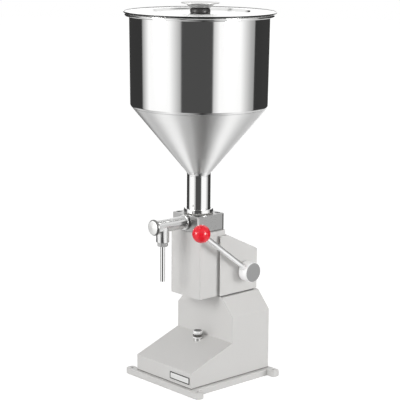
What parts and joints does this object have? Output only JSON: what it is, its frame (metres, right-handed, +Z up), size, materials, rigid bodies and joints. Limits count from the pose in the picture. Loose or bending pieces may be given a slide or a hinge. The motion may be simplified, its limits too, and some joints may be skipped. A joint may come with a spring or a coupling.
{
  "type": "manual filling machine",
  "caption": "Hand-lever filling machine: steel hopper with a lid, valve block, front nozzle, painted column and housing, stepped painted base with ears.",
  "frame": {"origin": "on the ground, straight under the axis of the hopper and the piston", "axes": "+Z up, -Y towards the nozzle and the user, +X towards the side with the lever"},
  "size_m": [0.271, 0.271, 0.6884],
  "materials": {
    "paint": "smooth light warm grey paint, semi-gloss",
    "polished_steel": "mirror-polished stainless steel",
    "satin_steel": "finely ground stainless steel",
    "chrome": "chromed, mirror",
    "dark_steel": "blackened, oiled",
    "bronze": "machined bearing bronze",
    "rubber": "matte",
    "black_plastic": "glossy moulded",
    "plate_black": "thin enamelled plate, left bare",
    "red_plastic": "glossy moulded"
  },
  "bodies": {
    "frame": {"base_plate": "paint", "lower_body": "paint", "name_plate": "plate_black", "stop_bush": "satin_steel", "sole_plate": "rubber", "column": "paint", "cylinder_liner": "polished_steel", "valve_block": "satin_steel", "inlet_valve_body": "satin_steel", "inlet_spring": "satin_steel", "hopper_neck_tube": "polished_steel", "hopper_cone_sheet": "polished_steel", "hopper_bowl_sheet": "polished_steel", "hopper_collar": "polished_steel", "collar_gasket": "rubber", "outlet_tube": "polished_steel", "outlet_gasket": "rubber", "outlet_cap": "polished_steel", "outlet_spring": "satin_steel", "nozzle_nut": "polished_steel", "nozzle": "polished_steel", "mechanism_frame": "dark_steel", "housing": "paint", "frame_screw_1": "dark_steel", "frame_screw_2": "dark_steel", "shaft_bush_right": "bronze", "shaft_bush_left": "bronze", "dust_washer": "rubber", "base_screw_1": "dark_steel", "base_screw_2": "dark_steel", "base_screw_3": "dark_steel", "base_screw_4": "dark_steel", "block_screw_1": "dark_steel", "block_screw_2": "dark_steel", "block_screw_3": "dark_steel", "block_screw_4": "dark_steel"},
    "lever": {"lever_shaft": "satin_steel", "shaft_clip": "dark_steel", "rocker_arm": "dark_steel", "cross_pin": "satin_steel", "lever_hub": "chrome", "hub_set_screw": "dark_steel", "lever_rod": "chrome", "lever_ball": "red_plastic"},
    "plunger": {"piston": "satin_steel", "piston_seal_upper": "rubber", "piston_seal_lower": "rubber", "piston_rod": "satin_steel"},
    "lid": {"lid": "polished_steel", "lid_knob_foot": "black_plastic", "lid_knob_cap": "polished_steel", "lid_screw": "dark_steel"},
    "stop_nut": {"stop_nut": "chrome"},
    "stop_screw": {"stroke_stop": "chrome"},
    "inlet_ball": {"inlet_ball": "chrome"},
    "outlet_ball": {"outlet_ball": "chrome"}
  },
  "joints": [
    {"name": "lever_hinge", "type": "hinge", "parent": "frame", "child": "lever", "pos_m": [0, 0.0745, 0.199], "axis": [1, 0, 0], "range_deg": [0, 37.38]},
    {"name": "plunger_slide", "type": "slide", "parent": "frame", "child": "plunger", "axis": [0, 0, 1], "range_m": [-0.05, 0]},
    {"name": "lid_lift", "type": "slide", "parent": "frame", "child": "lid", "axis": [0, 0, 1], "range_m": [0, 0.08]},
    {"name": "stop_nut_turn", "type": "hinge", "parent": "frame", "child": "stop_nut", "pos_m": [0, 0, 0.078], "axis": [0, 0, 1], "range_deg": [0, 1090]},
    {"name": "stop_screw_rise", "type": "slide", "parent": "frame", "child": "stop_screw", "axis": [0, 0, 1], "range_m": [0, 0.012]},
    {"name": "inlet_ball_travel", "type": "slide", "parent": "frame", "child": "inlet_ball", "axis": [0, 0, -1], "range_m": [0, 0.003], "stiffness_N_per_m": 150, "springref_m": -0.005, "deforming": ["inlet_spring"]},
    {"name": "outlet_ball_travel", "type": "slide", "parent": "frame", "child": "outlet_ball", "axis": [0, 0, -1], "range_m": [0, 0.0015], "stiffness_N_per_m": 100, "springref_m": -0.004, "deforming": ["outlet_spring"]}
  ],
  "couplings": [
    {"joint": "plunger_slide", "follows": "lever_hinge", "m_per_rad": -0.07659},
    {"joint": "stop_nut_turn", "follows": "stop_screw_rise", "rad_per_m": 1570.8}
  ]
}
